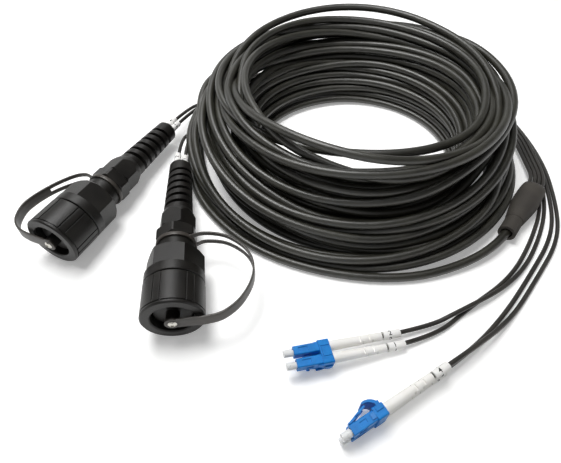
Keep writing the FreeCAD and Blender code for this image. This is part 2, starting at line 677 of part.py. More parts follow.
fan_a = fan_seats["plug_fanout"]
fan_b = fan_seats["lc_fanout"]
cable_z = CABLE_D / 2 + 0.1
cord("main_cable_front_lead", [
    laid(-102.0, 24.0, 20.0), laid(-111.5, -3.0, 7.0), laid(-109.0, -36.0, cable_z),
    laid(-93.0, -68.0, cable_z + 0.1), laid(-63.0, -97.0, cable_z), laid(-22.0, -113.0, cable_z + 0.1),
    laid(20.0, -116.4, cable_z), laid(54.0, -107.0, cable_z + 1.0),
    fan_a.at(-8.0, 0, 0), fan_a.at(FAN_MOUTH_DEPTH, 0, 0)], CABLE_D)
cord("main_cable_rear_lead", [
    laid(-92.0, 49.0, 18.0), laid(-90.0, 86.0, 12.0),
    fan_b.at(-30.0, 0, 0), fan_b.at(FAN_MOUTH_DEPTH, 0, 0)], CABLE_D)

for name, seat in fan_seats.items():
    save(name + "_boot", seat.put(fan_boot()))
    save(name + "_insert", seat.put(fan_insert()))

# Plugs
seals = []
for name, seat in plug_seats.items():
    body_turn, base_turn, nut_turn = plug_hex[name]
    line, split, side = strap_lines[name]
    save(name + "_coupling_ring", seat.put(plug_ring()))
    save(name + "_body", seat.put(plug_body(body_turn)))
    save(name + "_nose", seat.put(plug_nose()))
    save(name + "_lc_cores", seat.put(Part.makeCompound(lc_cores())))
    save(name + "_gland_base", seat.put(gland_base(base_turn)))
    seals.append(seat.put(gland_seal()))
    save(name + "_gland_nut", seat.put(gland_nut(nut_turn)))
    save(name + "_dust_plug", seat.put(dust_plug()))
    save(name + "_dust_seal", seat.put(dust_seal()))
    save(name + "_rivet", seat.put(rivet()))
    save(name + "_strap", seat.put(strap(line, split, side)))

save("gland_seals", Part.makeCompound(seals))

# LC pairs: the near connector is at +Y in the pair's own frame
ferrules = []
lc_numbers = {"lc_12": (1, 2), "lc_34": (3, 4)}
for name, seat in lc_seats.items():
    sides = (LC_PITCH / 2, -LC_PITCH / 2)
    for number, y in zip(lc_numbers[name], sides):
        save("lc_housing_%d" % number, seat.put(lc_housing(y)))
        save("lc_boot_%d" % number, seat.put(lc_boot(y)))
        save("lc_cap_%d" % number, seat.put(lc_cap(y)))
    save(name + "_latches", seat.put(Part.makeCompound([lc_latch(y) for y in sides])))
    ferrules += [seat.put(ferrule(y)) for y in sides]
    save(name + "_tags", seat.put(Part.makeCompound([lc_tag(y) for y in sides])))
    save(name + "_clip", seat.put(lc_clip()))
    save(name + "_trigger", seat.put(lc_trigger()))
save("lc_ferrules", Part.makeCompound(ferrules))

# Legs from the near fan-out, round the back of the coil, to the two plugs
plug_lanes = [(-12, 125.2, 4.8), (9, 126.5, 3.9), (34, 126.0, 3.9), (60, 118.5, LEG_FLOOR_Z),
              (85, 116.6, LEG_FLOOR_Z), (110, 116.5, LEG_FLOOR_Z), (134, 116.5, LEG_FLOOR_Z)]
plug_ends = [("plug_2", -1), ("plug_2", 1), ("plug_1", -1), ("plug_1", 1)]
leg_tail = {
    "plug_1": [(153, 116.8, LEG_FLOOR_Z + 0.6)],
    "plug_2": [(154, 115.6, LEG_FLOOR_Z), (173, 115.6, 4.0)],
}
tags = {"plug_1": [], "plug_2": []}
for k, (plug, hand) in enumerate(plug_ends):
    seat = plug_seats[plug]
    row = (1.5 - k) * FAN_LEG_PITCH
    shift = (k - 1.5) * LEG_LANE
    route = [fan_a.at(FAN_INSERT_END, row, 0), fan_a.at(FAN_LEN + 8, row, 0)]
    route += [polar(a, r + shift, z) for a, r, z in plug_lanes + leg_tail[plug]]
    x = hand * LEG_HALF_PITCH
    route += [seat.at(x, 0, TAIL_END + 28), seat.at(x, 0, TAIL_END - TAIL_BORE_DEPTH)]
    cord("plug_leg_%d" % (k + 1), route, LEG_D)
    first = TAIL_END + PLUG_TAG_GAPS[k % 2]
    tag = tube(TAG_R, LEG_R, first, first + TAG_LEN)
    tag.translate(V(x, 0, 0))
    tags[plug].append(seat.put(tag))
for name, pair in tags.items():
    save(name + "_tags", Part.makeCompound(pair))

# Legs from the far fan-out, round the right of the coil, to the two LC pairs
lc_lanes = [(64, 139.5, LEG_FLOOR_Z), (41, 136.0, LEG_FLOOR_Z), (18, 129.5, LEG_FLOOR_Z),
            (-6, 131.0, LEG_FLOOR_Z), (-26, 135.6, LEG_FLOOR_Z)]
lc_runs = {
    1: [(98.5, -89.5, LEG_FLOOR_Z), (78.0, -114.5, LEG_FLOOR_Z), (50.0, -133.0, LEG_FLOOR_Z)],
    2: [(98.6, -96.2, LEG_FLOOR_Z), (76.0, -119.5, 2.6), (43.0, -137.0, 5.2)],
    3: [(112.0, -86.0, LEG_FLOOR_Z), (90.0, -112.0, LEG_FLOOR_Z), (67.0, -137.5, LEG_FLOOR_Z)],
    4: [(115.0, -88.5, LEG_FLOOR_Z), (92.6, -114.6, LEG_FLOOR_Z), (69.4, -140.2, 1.6)],
}
for name, seat in lc_seats.items():
    for number, y in zip(lc_numbers[name], (LC_PITCH / 2, -LC_PITCH / 2)):
        k = number - 1
        row = (k - 1.5) * FAN_LEG_PITCH
        shift = (k - 1.5) * LEG_LANE
        route = [fan_b.at(FAN_INSERT_END, row, 0), fan_b.at(FAN_LEN + 8, row, 0)]
        route += [polar(a, r + shift, z) for a, r, z in lc_lanes]
        route += [laid(*p) for p in lc_runs[number]]
        route += [seat.at(TAG_END + 15, y, 0), seat.at(BOOT_BORE_START, y, 0)]
        cord("lc_leg_%d" % number, route, LEG_D)

for name in sorted(made):
    shape = made[name]
    bb = shape.BoundBox
    print("%-24s valid %s solids %d  x %.1f..%.1f y %.1f..%.1f z %.1f..%.1f" % (
        name, shape.isValid(), len(shape.Solids), bb.XMin, bb.XMax, bb.YMin, bb.YMax, bb.ZMin, bb.ZMax))
print(len(made), "nodes")
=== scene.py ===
import json
import math

import bpy
import numpy as np
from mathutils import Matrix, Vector, kdtree


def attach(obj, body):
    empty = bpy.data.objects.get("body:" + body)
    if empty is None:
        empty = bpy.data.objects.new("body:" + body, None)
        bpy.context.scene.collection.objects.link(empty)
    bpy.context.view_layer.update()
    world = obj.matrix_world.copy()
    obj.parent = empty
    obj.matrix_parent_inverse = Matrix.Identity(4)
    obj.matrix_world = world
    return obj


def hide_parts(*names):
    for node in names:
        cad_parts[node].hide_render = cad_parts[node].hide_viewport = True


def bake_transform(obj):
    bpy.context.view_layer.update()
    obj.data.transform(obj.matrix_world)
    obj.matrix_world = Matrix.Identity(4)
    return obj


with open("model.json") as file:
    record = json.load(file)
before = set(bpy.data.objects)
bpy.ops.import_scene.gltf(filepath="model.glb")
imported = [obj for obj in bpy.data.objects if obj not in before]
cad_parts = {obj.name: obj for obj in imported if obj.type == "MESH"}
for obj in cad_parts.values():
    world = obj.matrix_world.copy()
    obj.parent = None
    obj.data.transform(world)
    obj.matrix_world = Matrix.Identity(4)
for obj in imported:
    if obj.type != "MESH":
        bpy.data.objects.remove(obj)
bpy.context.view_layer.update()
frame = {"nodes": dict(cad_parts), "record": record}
scene = bpy.context.scene
MM = 0.001

# Sizes shared with the construction, in millimetres
CABLE_D = 5.0
CABLE_Z = 2.6
LEG_D = 2.4
LEG_LANE = 2.9
LEG_FLOOR_Z = 1.2
RING_R = 15.5
RING_LIFT = 1.6
NECK_R = 9.9
STRAP_W = 7.0
STRAP_T = 1.0
STRAP_MID = -1.7
STRAND_W = 2.4
STRAND_SPREAD = 1.3
STRAND_RISE = 3.0
COLLAR_Z = 43.1
COLLAR_W = 4.5
COLLAR_T = 1.2
TAIL_END = 115.0
TAIL_BORE_START = 107.0
LEG_HALF_PITCH = 2.4
PLUG_TAG_GAPS = (0.8, 4.0)
TAG_LEN = 9.0
TAG_R = 2.2
FAN_Z = 6.3
FAN_LEN = 49.0
FAN_MOUTH_DEPTH = 7.0
FAN_INSERT_END = 46.5
FAN_LEG_PITCH = 2.6
LC_PITCH = 6.25
BOOT_BORE_START = 41.7
TAG_END = 59.7

# Where the ends lie, as in the construction, in millimetres and degrees
PLUG_Z = RING_R + RING_LIFT
PLUG_DROP = 2.6
PLUG_1_PLACE = (-173.4, -101.6, PLUG_Z)
PLUG_1_TURN = 67.3
PLUG_2_PLACE = (-100.0, -148.7, PLUG_Z)
PLUG_2_TURN = 97.0
FAN_A_PLACE = (83.2, -86.4, FAN_Z)
FAN_A_TURN = 51.0
FAN_B_PLACE = (-42.0, 128.5, FAN_Z)
FAN_B_TURN = 8.0
LC12_PLACE = (-46.9, -165.4, 9.4)
LC12_TURN = 13.6
LC12_DROP = 6.0
LC34_PLACE = (-23.6, -198.8, 6.65)
LC34_TURN = 31.0
FIRST_PAIR = (1, 2)

# Real lengths of the cords, in millimetres
PLUG_LEG_LENGTH = 447.0
LC_LEG_LENGTH = 431.0


# Placed local frames, as in the construction
def heading(angle_deg, drop_deg=0.0):
    """A direction at an angle round the floor, dropped below the level."""
    a = math.radians(angle_deg)
    d = math.radians(drop_deg)
    return Vector((math.cos(a) * math.cos(d), math.sin(a) * math.cos(d), -math.sin(d)))


def polar(angle_deg, r, z):
    """A place at an angle and radius round the coil's middle."""
    a = math.radians(angle_deg)
    return Vector((r * math.cos(a), r * math.sin(a), z))


class Seat:
    """A placed local frame: an origin and three right-handed directions, in millimetres."""

    def __init__(self, origin, x_dir, z_dir):
        self.origin = Vector(origin)
        self.z = Vector(z_dir).normalized()
        x = Vector(x_dir)
        self.x = (x - self.z * x.dot(self.z)).normalized()
        self.y = self.z.cross(self.x)

    def at(self, x, y, z):
        return self.origin + self.x * x + self.y * y + self.z * z


def plug_seat(place, turn):
    """A plug's frame: z runs from its front to its tail."""
    return Seat(place, heading(turn + 90), heading(turn, PLUG_DROP))


up_dir = Vector((0, 0, 1))
plug_seats = {
    "plug_1": plug_seat(PLUG_1_PLACE, PLUG_1_TURN),
    "plug_2": plug_seat(PLUG_2_PLACE, PLUG_2_TURN),
}
fan_a = Seat(FAN_A_PLACE, heading(FAN_A_TURN), up_dir)
fan_b = Seat(FAN_B_PLACE, heading(FAN_B_TURN), up_dir)
lc12_axis = heading(LC12_TURN, LC12_DROP)
lc12_down = -up_dir - lc12_axis * (-up_dir).dot(lc12_axis)
lc_seats = {
    "lc_12": Seat(LC12_PLACE, lc12_axis, lc12_down),
    "lc_34": Seat(LC34_PLACE, heading(LC34_TURN), heading(LC34_TURN + 90)),
}


def lc_place(number):
    """The seat of a connector's pair, and the connector's place across it."""
    seat = lc_seats["lc_12" if number in FIRST_PAIR else "lc_34"]
    across = LC_PITCH / 2 if number % 2 else -LC_PITCH / 2
    return seat, across


# Camera, close to the object and looking steeply down on it; its place is in metres
CAMERA_PLACE = (-0.049, -0.247, 0.2)
LOOK_DOWN_DEG = 50.1
SENSOR_WIDTH = 36.0
LENS = 27.594
camera_data = bpy.data.cameras.new("camera")
camera_data.sensor_fit = "HORIZONTAL"
camera_data.sensor_width = SENSOR_WIDTH
camera_data.lens = LENS
camera = bpy.data.objects.new("camera", camera_data)
camera.location = CAMERA_PLACE
camera.rotation_euler = (math.radians(90.0 - LOOK_DOWN_DEG), 0.0, 0.0)
scene.collection.objects.link(camera)
scene.camera = camera

# Cords: how finely each is drawn round and along itself
CABLE_ROUND = 3
CABLE_STEPS = 5
LEG_ROUND = 2
LEG_STEPS = 12
CORD_ORDER = 3


def cord_curve(name, points, diameter, fineness, steps):
    """A round cord along control points given in millimetres; each point carries the cord's radius."""
    data = bpy.data.curves.new(name, "CURVE")
    data.dimensions = "3D"
    data.bevel_depth = 1.0
    data.bevel_resolution = fineness
    data.resolution_u = steps
    data.use_fill_caps = True
    spline = data.splines.new("NURBS")
    spline.points.add(len(points) - 1)
    for point, place in zip(spline.points, points):
        point.co = (place[0] * MM, place[1] * MM, place[2] * MM, 1.0)
        point.radius = diameter / 2 * MM
    spline.order_u = CORD_ORDER
    spline.use_endpoint_u = True
    obj = bpy.data.objects.new(name, data)
    scene.collection.objects.link(obj)
    return obj


# The coil's turns: radii and heights at the front, right, back and left of each, and how loosely it lies
TURN_POINTS = 24
LAYER = 4.0
LAYERS = 10
HALF_WAY = 5
LOOSE = 1.0
SNUG = 0.35
COIL_START_DEG = 167.0
OUTER_FOOT = (107.0, 108.0, 100.5, 107.0)
OUTER_TOP = (94.0, 91.5, 102.0, 89.5)
OUTER_BULGE = (1, 2, 1, 2)
OUTER_SAG = (12.0, 0.0, 7.0, 0.0)
OUTER_FILLS = (0.5, 1.5, 3.0, 4.5)
OUTER_FILL_INSET = 12.0
INNER_FOOT = (80.0, 70.0, 58.0, 67.5)
INNER_TOP = (78.0, 77.0, 81.0, 78.5)
INNER_SAG = (8.0, 0.0, 7.0, 0.0)
INNER_FILLS = (6.5, 4.8, 3.2, 1.8, 0.5)
INNER_FILL_OUTSET = 5.0
TOP_TURNS = 7
TOP_FIRST = (74.0, 80.0, 88.0, 78.0)
TOP_LAST = (90.0, 92.0, 104.0, 86.0)
TOP_HEIGHTS = (42.0, 47.0, 46.0, 47.0)
EYE_EVERY = 3
EYE_LEAN = 12.0
EYE_LIFT = 8.0


def outer_turn(layer, inset=0.0):
    """A turn of the outer wall, which bulges and leans inwards as it rises."""
    share = layer / LAYERS
    z = CABLE_Z + LAYER * layer
    sides = zip(OUTER_FOOT, OUTER_TOP, OUTER_BULGE)
    radii = [foot + (top - foot) * share ** bulge - inset for foot, top, bulge in sides]
    return radii, [z - sag * share for sag in OUTER_SAG], LOOSE


def inner_turn(layer, outset=0.0):
    """A turn of the eye's wall."""
    share = layer / LAYERS
    z = CABLE_Z + LAYER * layer
    radii = [foot + (top - foot) * share + outset for foot, top in zip(INNER_FOOT, INNER_TOP)]
    return radii, [z - sag * share for sag in INNER_SAG], SNUG


def top_turn(n):
    """A turn thrown loosely on the heap, each wider than the last; every third hangs over the eye."""
    share = n / (TOP_TURNS - 1)
    radii = [first + (last - first) * share for first, last in zip(TOP_FIRST, TOP_LAST)]
    heights = list(TOP_HEIGHTS)
    if n % EYE_EVERY == EYE_EVERY - 1:
        radii[0] -= EYE_LEAN
        heights[0] += EYE_LIFT
    return radii, heights, LOOSE


# The cable starts half way up outside, goes down, fills the heap, climbs inside and comes back over the top
turns = [outer_turn(n) for n in reversed(range(HALF_WAY))]
turns += [outer_turn(n, OUTER_FILL_INSET) for n in OUTER_FILLS]
turns += [inner_turn(n, INNER_FILL_OUTSET) for n in INNER_FILLS]
turns += [inner_turn(n) for n in range(LAYERS + 1)]
turns += [top_turn(n) for n in range(TOP_TURNS)]
turns += [outer_turn(n) for n in reversed(range(HALF_WAY, LAYERS + 1))]


def around(sides, angle):
    """A turn's radius or height at an angle, from its values at the four sides."""
    front, right, back, left = sides
    mean = (front + right + back + left) / 4
    lean = (right - left) / 2 * math.cos(angle) + (back - front) / 2 * math.sin(angle)
    return mean + lean + (right + left - front - back) / 4 * math.cos(2 * angle)


# How unevenly the turns are laid: one slow and one quicker wave in radius and in height
COIL_SEED = 3
COIL_DRAWS = 8
UNEVEN = 8.0
TILT = 12.0
QUICK_UNEVEN = 0.6
QUICK_TILT = 0.3
PHASE = 3


def coil_points():
    """The coil's control points, each turn easing into the next."""
    rng = np.random.RandomState(COIL_SEED)
    waves = rng.uniform(-1, 1, (len(turns), COIL_DRAWS))
    last = len(turns) - 1

    def place(k, angle):
        radii, heights, looseness = turns[k]
        v = waves[k]
        w = v * looseness
        r = around(radii, angle) + UNEVEN * w[0] * math.cos(angle + PHASE * v[1])
        r += QUICK_UNEVEN * UNEVEN * w[2] * math.cos(2 * angle + PHASE * v[3])
        z = around(heights, angle) + TILT * w[4] * math.cos(angle + PHASE * v[5])
        z += QUICK_TILT * TILT * w[6] * math.cos(2 * angle + PHASE * v[7])
        return np.array((r, max(z, CABLE_D / 2)))

    points = []
    for i in range(len(turns) * TURN_POINTS + 1):
        k, step = divmod(i, TURN_POINTS)
        f = step / TURN_POINTS
        f = f * f * (3 - 2 * f)
        angle = math.radians(COIL_START_DEG) - 2 * math.pi * i / TURN_POINTS
        here = place(min(k, last), angle)
        after = place(min(k + 1, last), angle)
        r, z = (1 - f) * here + f * after
        points.append((r * math.cos(angle), r * math.sin(angle), z))
    return points


# How the turns settle: NEAR and SKIP are in cable diameters, PUSH and HOLD are shares of a step
SETTLE_ROUNDS = 120
PAIR_ROUNDS = 10
NEAR = 1.8
SKIP = 4
PUSH = 0.3
HOLD = 0.03
NO_GAP = 1e-9
SPAN_PLACES = (0.0, 0.25, 0.5, 0.75)


def close_pairs(line, reach, skip):
    """Pairs of places within reach of each other that are more than skip places apart along the line."""
    tree = kdtree.KDTree(len(line))
    for i, p in enumerate(line):
        tree.insert(p, i)
    tree.balance()
    pairs = []
    for i, p in enumerate(line):
        pairs += [(i, j) for _, j, _ in tree.find_range(p, reach) if j > i + skip]
    return np.array(pairs)


def settle(points, first, last, rounds):
    """Push the turns apart until they lie on each other and on the floor; the ends stay as laid."""
    laid = np.array(points, float)
    spots = laid.copy()
    # What three neighbouring control points each give to a place on the curve between them
    shares = [(0.5 * (1 - u) ** 2, 0.5 + u * (1 - u), 0.5 * u * u) for u in SPAN_PLACES]
    count = len(spots) - 2
    pairs = None
    for done in range(rounds):
        line = [a * spots[:-2] + b * spots[1:-1] + c * spots[2:] for a, b, c in shares]
        line = np.stack(line, 1).reshape(-1, 3)
        if done % PAIR_ROUNDS == 0:
            step = np.linalg.norm(np.diff(line, axis=0), axis=1).mean()
            pairs = close_pairs(line, NEAR * CABLE_D, int(SKIP * CABLE_D / step) + 1)
        i, j = pairs[:, 0], pairs[:, 1]
        apart = line[i] - line[j]
        gap = np.linalg.norm(apart, axis=1) + NO_GAP
        over = np.clip(CABLE_D - gap, 0, None)
        push = apart * (0.5 * over / gap)[:, None]
        touching = (over > 0).astype(float)
        n = len(line)
        hits = np.bincount(i, touching, n) + np.bincount(j, touching, n)
        move = [np.bincount(i, push[:, k], n) - np.bincount(j, push[:, k], n) for k in range(3)]
        move = np.stack(move, 1)
        move /= np.sqrt(np.maximum(hits, 1))[:, None]
        move[:, 2] += np.clip(CABLE_D / 2 - line[:, 2], 0, None)
        move = move.reshape(count, len(SPAN_PLACES), 3)
        change = np.zeros_like(spots)
        for s, (a, b, c) in enumerate(shares):
            change[:-2] += a * move[:, s]
            change[1:-1] += b * move[:, s]
            change[2:] += c * move[:, s]
        change = PUSH * change + HOLD * (laid - spots)
        change[:first] = 0
        change[last:] = 0
        spots += change
    return spots


# The leads between the coil and the two fan-outs
FRONT_RUN_IN = 8.0
REAR_RUN_IN = 30.0
front_lead = [
    (-111.5, -3.0, 7.0),
    (-109.0, -36.0, CABLE_Z),
    (-93.0, -68.0, CABLE_Z + 0.1),
    (-63.0, -97.0, CABLE_Z),
    (-22.0, -113.0, CABLE_Z + 0.1),
    (20.0, -116.4, CABLE_Z),
    (54.0, -107.0, CABLE_Z + 1.0),
    tuple(fan_a.at(-FRONT_RUN_IN, 0, 0)),
    tuple(fan_a.at(FAN_MOUTH_DEPTH, 0, 0)),
]
rear_lead = [
    (-92.0, 49.0, 18.0),
    (-90.0, 86.0, 12.0),
    tuple(fan_b.at(-REAR_RUN_IN, 0, 0)),
    tuple(fan_b.at(FAN_MOUTH_DEPTH, 0, 0)),
]
coil = coil_points()
first_loose = len(front_lead) + 1
last_loose = len(front_lead) + len(coil) - 1
rounds = SETTLE_ROUNDS
main_points = settle(front_lead[::-1] + coil + rear_lead, first_loose, last_loose, rounds)
main_cable = cord_curve("main_cable", main_points, CABLE_D, CABLE_ROUND, CABLE_STEPS)
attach(main_cable, "cord")
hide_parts("main_cable_coil", "main_cable_front_lead", "main_cable_rear_lead")

# Thin legs, along the construction's routes: lanes give an angle, a radius and a height round the coil
LEG_RUN_OUT = 8
PLUG_RUN_IN = 28
LC_RUN_IN = 15
MIDDLE_ROW = 1.5
legs = []
plug_lanes = [
    (-12, 125.2, 4.8),
    (9, 126.5, 3.9),
    (34, 126.0, 3.9),
    (60, 118.5, LEG_FLOOR_Z),
    (85, 116.6, LEG_FLOOR_Z),
    (110, 116.5, LEG_FLOOR_Z),
    (134, 116.5, LEG_FLOOR_Z),
]
plug_lane_ends = {
    "plug_1": [(153, 116.8, LEG_FLOOR_Z + 0.6)],
    "plug_2": [(154, 115.6, LEG_FLOOR_Z), (173, 115.6, 4.0)],
}
plug_ends = [("plug_2", -1), ("plug_2", 1), ("plug_1", -1), ("plug_1", 1)]
for k, (plug, hand) in enumerate(plug_ends):
    seat = plug_seats[plug]
    row = (MIDDLE_ROW - k) * FAN_LEG_PITCH
    shift = (k - MIDDLE_ROW) * LEG_LANE
    x = hand * LEG_HALF_PITCH
    route = [fan_a.at(FAN_INSERT_END, row, 0), fan_a.at(FAN_LEN + LEG_RUN_OUT, row, 0)]
    route += [polar(a, r + shift, z) for a, r, z in plug_lanes + plug_lane_ends[plug]]
    route += [seat.at(x, 0, TAIL_END + PLUG_RUN_IN), seat.at(x, 0, TAIL_BORE_START)]
    legs.append(("plug_leg_%d" % (k + 1), route, PLUG_LEG_LENGTH))

lc_lanes = [(64, 139.5), (41, 136.0), (18, 129.5), (-6, 131.0), (-26, 135.6)]
lc_runs = {
    1: [(98.5, -89.5, LEG_FLOOR_Z), (78.0, -114.5, LEG_FLOOR_Z), (50.0, -133.0, LEG_FLOOR_Z)],
    2: [(98.6, -96.2, LEG_FLOOR_Z), (76.0, -119.5, 2.6), (43.0, -137.0, 5.2)],
    3: [(112.0, -86.0, LEG_FLOOR_Z), (90.0, -112.0, LEG_FLOOR_Z), (67.0, -137.5, LEG_FLOOR_Z)],
    4: [(115.0, -88.5, LEG_FLOOR_Z), (92.6, -114.6, LEG_FLOOR_Z), (69.4, -140.2, 1.6)],
}
for number, run in lc_runs.items():
    k = number - 1
    seat, y = lc_place(number)
    row = (k - MIDDLE_ROW) * FAN_LEG_PITCH
    shift = (k - MIDDLE_ROW) * LEG_LANE
    route = [fan_b.at(FAN_INSERT_END, row, 0), fan_b.at(FAN_LEN + LEG_RUN_OUT, row, 0)]
    route += [polar(a, r + shift, LEG_FLOOR_Z) for a, r in lc_lanes] + run
    route += [seat.at(TAG_END + LC_RUN_IN, y, 0), seat.at(BOOT_BORE_START, y, 0)]
    legs.append(("lc_leg_%d" % number, route, LC_LEG_LENGTH))

leg_objects = []
for name, route, length in legs:
    leg = cord_curve(name + "_cord", route, LEG_D, LEG_ROUND, LEG_STEPS)
    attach(leg, "cord")
    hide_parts(name)
    leg_objects.append(leg)


# Straps: a flat rubber band, slit at its far end into two strands that join in a loop round the plug's neck
STRAP_EDGE = 0.3
STRAP_STEPS = 8
STRAP_LEAD = (2.0, 8.0)
STRAP_SPLIT = 4
STRAP_HELD_Z = 42.0
STRAP_FREE_Z = 3.0
STRAND_ROOT_R = NECK_R + COLLAR_T / 3
STRAND_ROOT_SHARE = 0.75
STRAND_ROOT_Z = COLLAR_Z + STRAND_ROOT_SHARE * COLLAR_W
LANES = 3
MIDDLE_LANE = {1, 2}
PAD_RIM = 0.4
PAD_R = STRAP_W / 2 + PAD_RIM
PAD_CORNERS = 40
SHANK_HOLE_R = 1.3
LOOP_EDGE = 0.4
LOOP_MID = COLLAR_Z + COLLAR_W - STRAND_W / 2
LOOP_R = NECK_R + COLLAR_T / 2
LOOP_CORNERS = 64
EDGE_SEGMENTS = 2
EDGE_DEG = 50
SMOOTH_DEG = 40


def smooth(points, steps):
    """A smooth line through points, with a number of steps from each to the next."""
    pts = [Vector(p) for p in points]
    pts = [2 * pts[0] - pts[1]] + pts + [2 * pts[-1] - pts[-2]]
    line = []
    for a, b, c, d in zip(pts, pts[1:], pts[2:], pts[3:]):
        for i in range(steps):
            t = i / steps
            bend = (2 * a - 5 * b + 4 * c - d) * t * t + (3 * b - a - 3 * c + d) * t ** 3
            line.append(0.5 * (2 * b + (c - a) * t + bend))
    return line + [pts[-2]]


def thickened(obj, thickness, edge):
    """Gives a thin sheet its thickness and rounds its edges."""
    wall = obj.modifiers.new("thickness", "SOLIDIFY")
    wall.thickness = thickness
    wall.offset = 0.0
    wall.use_even_offset = True
    rounding = obj.modifiers.new("edges", "BEVEL")
    rounding.width = edge
    rounding.segments = EDGE_SEGMENTS
    rounding.limit_method = "ANGLE"
    rounding.angle_limit = math.radians(EDGE_DEG)
    bpy.ops.object.modifier_apply(modifier="thickness")
    bpy.ops.object.modifier_apply(modifier="edges")
    return obj


def strap_band(places, side):
    """The band in the plug's own frame: a grid of three lanes, the middle one cut away past the split."""
    lane_edges = [-STRAP_W / 2, STRAND_W - STRAP_W / 2, STRAP_W / 2 - STRAND_W, STRAP_W / 2]
    whole = [(w, STRAP_MID) for w in STRAP_LEAD] + places[:STRAP_SPLIT]
    slit = places[STRAP_SPLIT:]
    lines = []
    for edge in lane_edges:
        hand = math.copysign(1.0, edge)
        line = [(side * w, edge, z) for w, z in whole]
        for i, (w, z) in enumerate(slit):
            share = i / len(slit)
            line.append((side * w, edge + (hand * STRAND_SPREAD + STRAND_RISE) * share, z))
        end = edge + hand * STRAND_SPREAD + STRAND_RISE
        root = math.sqrt(STRAND_ROOT_R ** 2 - end * end)
        line.append((side * root, end, STRAND_ROOT_Z))
        lines.append(smooth(line, STRAP_STEPS))
    rows = len(lines[0]) - 1
    slit_row = STRAP_STEPS * len(whole)
    bpy.ops.object.select_all(action="DESELECT")
    bpy.ops.mesh.primitive_grid_add(x_subdivisions=rows, y_subdivisions=LANES, size=1.0)
    obj = bpy.context.object
    bpy.ops.object.mode_set(mode="EDIT")
    bpy.ops.mesh.select_mode(type="FACE")
    bpy.ops.mesh.select_all(action="DESELECT")
    bpy.ops.object.mode_set(mode="OBJECT")
    spots = {}
    for vert in obj.data.vertices:
        spots[vert.index] = (round((vert.co.x + 0.5) * rows), round((vert.co.y + 0.5) * LANES))
    for face in obj.data.polygons:
        corners = [spots[v] for v in face.vertices]
        middle = {lane for row, lane in corners} == MIDDLE_LANE
        face.select = middle and min(row for row, lane in corners) >= slit_row
    for vert in obj.data.vertices:
        row, lane = spots[vert.index]
        vert.co = lines[lane][row]
    bpy.ops.object.mode_set(mode="EDIT")
    bpy.ops.mesh.delete(type="FACE")
    bpy.ops.object.mode_set(mode="OBJECT")
    return thickened(obj, STRAP_T, STRAP_EDGE)


def strap_loop():
    """The loop round the neck, about the plug's axis."""
    bpy.ops.object.select_all(action="DESELECT")
    bpy.ops.mesh.primitive_cylinder_add(vertices=LOOP_CORNERS, radius=LOOP_R, depth=STRAND_W,
                                        end_fill_type="NOTHING")
    obj = bpy.context.object
    for vert in obj.data.vertices:
        vert.co.z += LOOP_MID
    return thickened(obj, COLLAR_T, LOOP_EDGE)


def strap_pad():
    """The round pad under the rivet, holed for the rivet's shank."""
    bpy.ops.object.select_all(action="DESELECT")
    bpy.ops.mesh.primitive_circle_add(vertices=PAD_CORNERS, radius=PAD_R, fill_type="NGON")
    obj = bpy.context.object
    bpy.ops.object.mode_set(mode="EDIT")
    bpy.ops.mesh.select_all(action="SELECT")
    bpy.ops.mesh.inset(thickness=PAD_R - SHANK_HOLE_R)
    bpy.ops.mesh.delete(type="FACE")
    bpy.ops.object.mode_set(mode="OBJECT")
    for vert in obj.data.vertices:
        vert.co.z += STRAP_MID
    return thickened(obj, STRAP_T, STRAP_EDGE)


def laid_in(pieces, name, seat):
    """Joins pieces made in a seat's own millimetre frame and lays the whole in its place."""
    bpy.ops.object.select_all(action="DESELECT")
    for piece in pieces:
        piece.select_set(True)
    obj = pieces[0]
    bpy.context.view_layer.objects.active = obj
    bpy.ops.object.join()
    obj.name = name
    obj.data.name = name
    for vert in obj.data.vertices:
        vert.co = seat.at(*vert.co) * MM
    bpy.ops.object.mode_set(mode="EDIT")
    bpy.ops.mesh.select_all(action="SELECT")
    bpy.ops.mesh.normals_make_consistent(inside=False)
    bpy.ops.object.mode_set(mode="OBJECT")
    bpy.ops.object.shade_smooth_by_angle(angle=math.radians(SMOOTH_DEG))
    return obj


# Each strap's bow: places out from the plug's axis and back along it, and the side that it stands on
strap_lines = {
    "plug_1": (1, [(16.0, -1.6), (23.0, 0.2), (29.2, 6.0), (32.8, 17.0), (29.9, 32.4), (22.4, 44.2),
                   (15.0, 48.2)]),
    "plug_2": (-1, [(16.0, -1.7), (24.5, 0.2), (33.0, 7.0), (39.2, 18.0), (40.4, 29.0), (36.4, 38.4),
                    (27.0, 46.4), (16.0, 48.8)]),
}
straps = []
for plug, (side, places) in strap_lines.items():
    seat = plug_seats[plug]
    pieces = [strap_band(places, side), strap_loop(), strap_pad()]
    strap = laid_in(pieces, plug + "_rubber_strap", seat)
    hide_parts(plug + "_strap")
    seat.at(0, 0, STRAP_HELD_Z) * MM
    seat.at(0, 0, STRAP_FREE_Z) * MM
    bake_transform(strap)
    straps.append(strap)


# Plain digits on the white sleeves, printed in rows round each and read along the leg
DIGIT_SIZE = 3.5
DIGIT_BOLD = 0.035
DIGIT_PROUD = 0.04
DIGIT_ROWS = 4
DIGIT_SLICES = 32
DIGIT_MERGE = 0.0001
LC_DIGIT_INSET = 5.6


